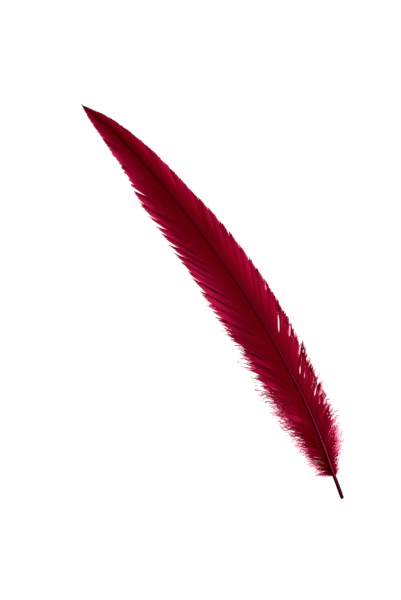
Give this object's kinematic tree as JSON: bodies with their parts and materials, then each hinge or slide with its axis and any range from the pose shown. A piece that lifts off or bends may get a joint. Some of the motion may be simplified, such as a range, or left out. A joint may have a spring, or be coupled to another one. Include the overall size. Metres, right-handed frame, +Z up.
{
  "type": "rooster feather",
  "caption": "Dyed rooster tail feather lying back up: a bare quill and curved shaft with a cambered vane of barbs on each side, downy at the base.",
  "frame": {"origin": "centre of the feather's footprint, on the surface that it lies on", "axes": "+X from the quill's end to the tip, +Y towards the wider vane, +Z up"},
  "size_m": [0.2832, 0.0414, 0.0057],
  "materials": {
    "dyed_feather": "burgundy dyed keratin, soft satin sheen on the barbs, glossier on the quill"
  },
  "bodies": {
    "root": {"feather": "dyed_feather"}
  },
  "joints": []
}
